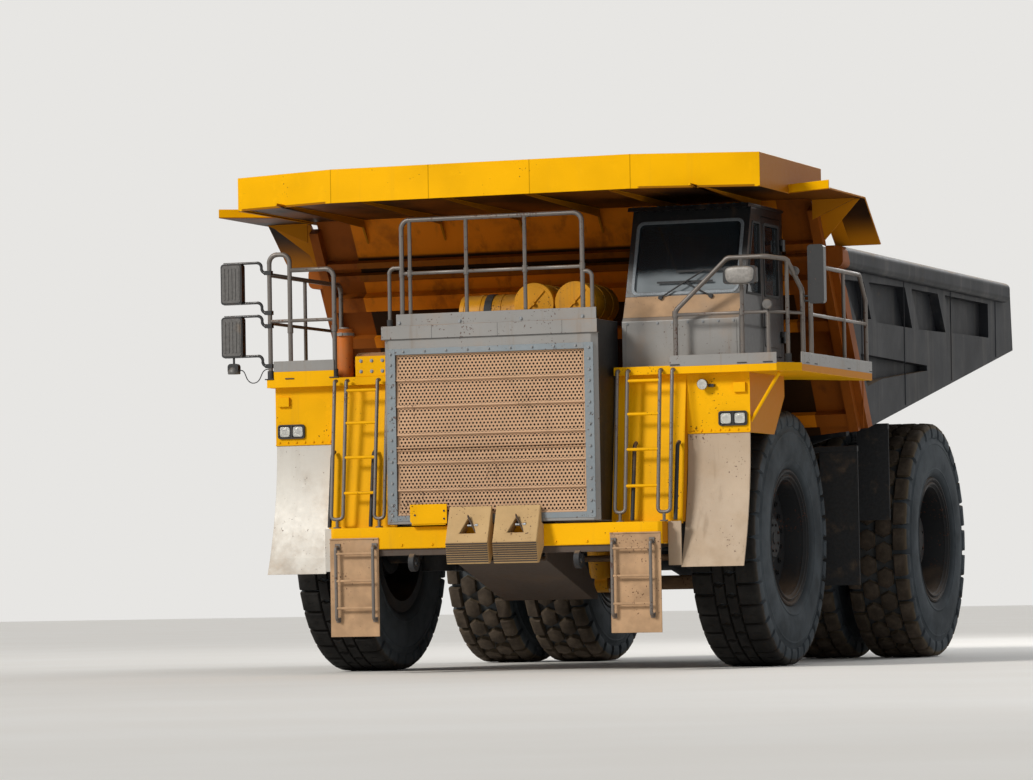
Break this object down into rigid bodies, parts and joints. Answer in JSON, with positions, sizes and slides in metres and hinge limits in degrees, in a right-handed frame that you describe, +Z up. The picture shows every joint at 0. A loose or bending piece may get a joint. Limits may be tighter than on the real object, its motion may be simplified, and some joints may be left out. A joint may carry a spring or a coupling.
{
  "type": "mining dump truck",
  "caption": "Rigid off-highway dump truck for mines: tipping body with canopy over the cab, twin rear wheels, steered front wheels, walkways with rails, ladders and wheel chocks.",
  "frame": {"origin": "on the ground under the middle of the whole length and width", "axes": "+X to the truck's left, +Y rearwards, +Z up"},
  "size_m": [6.76, 10.29, 5.2],
  "materials": {
    "yellow": "worn gloss paint with dust",
    "steel": "grey paint, worn",
    "dark": "dark paint, scratched",
    "body_dark": "bare and painted plate, dusty",
    "black": "black satin paint",
    "tan": "paint under dried mud",
    "pale": "pale grey paint",
    "tyre": "dusty moulded rubber",
    "chrome": "hard chrome",
    "glass": "clear, slightly tinted",
    "plastic": "grained",
    "fabric": "woven cover",
    "iron": "painted casting"
  },
  "bodies": {
    "chassis": {"frame": "steel", "front_struts": "steel", "rear_axle": "iron", "rear_struts": "steel", "engine": "iron", "driveline": "iron", "tanks": "dark", "radiator": "steel", "grille": "tan", "bumper": "yellow", "belly_guard": "tan", "wheel_chocks": "tan", "access_steps": "tan", "ladders": "steel", "cabinets": "yellow", "headlamps": "pale", "aprons": "pale", "deck": "yellow", "guard_rails": "steel", "mirrors": "black", "air_cleaners": "yellow", "cowl": "steel", "cab": "black", "cab_glass": "glass", "seat": "fabric", "dashboard": "plastic", "mud_flaps": "dark"},
    "cab_door": {"cab_door": "black", "door_glass": "glass"},
    "knuckle_left": {"knuckle_left": "steel"},
    "knuckle_right": {"knuckle_right": "steel"},
    "tie_rod": {"tie_rod": "steel"},
    "wheel_front_left": {"tyre_front_left": "tyre", "rim_front_left": "dark"},
    "wheel_front_right": {"tyre_front_right": "tyre", "rim_front_right": "dark"},
    "wheels_rear_left": {"tyres_rear_left": "tyre", "rims_rear_left": "dark"},
    "wheels_rear_right": {"tyres_rear_right": "tyre", "rims_rear_right": "dark"},
    "dump_body": {"dump_tub": "body_dark", "canopy": "yellow"},
    "hoist_barrels": {"hoist_barrels": "yellow"},
    "hoist_sleeves": {"hoist_sleeves": "chrome"},
    "hoist_rods": {"hoist_rods": "chrome"}
  },
  "joints": [
    {"name": "dump_body_tip", "type": "hinge", "parent": "chassis", "child": "dump_body", "pos_m": [0, 3.365, 2.45], "axis": [-1, 0, 0], "range_deg": [0, 45]},
    {"name": "hoist_swing", "type": "hinge", "parent": "chassis", "child": "hoist_barrels", "pos_m": [0, 0.815, 0.9], "axis": [-1, 0, 0], "range_deg": [0, 22]},
    {"name": "hoist_first_stage", "type": "slide", "parent": "hoist_barrels", "child": "hoist_sleeves", "axis": [0, -0.2528, 0.9675], "range_m": [0, 1.06]},
    {"name": "hoist_second_stage", "type": "slide", "parent": "hoist_sleeves", "child": "hoist_rods", "axis": [0, -0.2528, 0.9675], "range_m": [0, 1.06]},
    {"name": "steer_left", "type": "hinge", "parent": "chassis", "child": "knuckle_left", "pos_m": [1.42, -2.785, 1.33464], "axis": [0, 0, 1], "range_deg": [-36, 36]},
    {"name": "steer_right", "type": "hinge", "parent": "chassis", "child": "knuckle_right", "pos_m": [-1.42, -2.785, 1.33464], "axis": [0, 0, 1], "range_deg": [-36, 36]},
    {"name": "tie_rod_swing", "type": "hinge", "parent": "knuckle_left", "child": "tie_rod", "pos_m": [1.42, -2.285, 1.16], "axis": [0, 0, 1], "range_deg": [-36, 36]},
    {"name": "spin_front_left", "type": "hinge", "parent": "knuckle_left", "child": "wheel_front_left", "pos_m": [2.18, -2.785, 1.33464], "axis": [1, 0, 0], "continuous": true},
    {"name": "spin_front_right", "type": "hinge", "parent": "knuckle_right", "child": "wheel_front_right", "pos_m": [-2.18, -2.785, 1.33464], "axis": [1, 0, 0], "continuous": true},
    {"name": "spin_rear_left", "type": "hinge", "parent": "chassis", "child": "wheels_rear_left", "pos_m": [1.945, 2.165, 1.33464], "axis": [1, 0, 0], "continuous": true},
    {"name": "spin_rear_right", "type": "hinge", "parent": "chassis", "child": "wheels_rear_right", "pos_m": [-1.945, 2.165, 1.33464], "axis": [1, 0, 0], "continuous": true},
    {"name": "cab_door_swing", "type": "hinge", "parent": "chassis", "child": "cab_door", "pos_m": [2.528, -2.873, 3.9], "axis": [0, 0, 1], "range_deg": [0, 52]}
  ],
  "couplings": [
    {"joint": "hoist_swing", "follows": "dump_body_tip", "ratio": 0.4816},
    {"joint": "hoist_first_stage", "follows": "dump_body_tip", "m_per_rad": 1.3386},
    {"joint": "hoist_second_stage", "follows": "dump_body_tip", "m_per_rad": 1.3386},
    {"joint": "steer_right", "follows": "steer_left", "ratio": 1},
    {"joint": "tie_rod_swing", "follows": "steer_left", "ratio": -1}
  ]
}
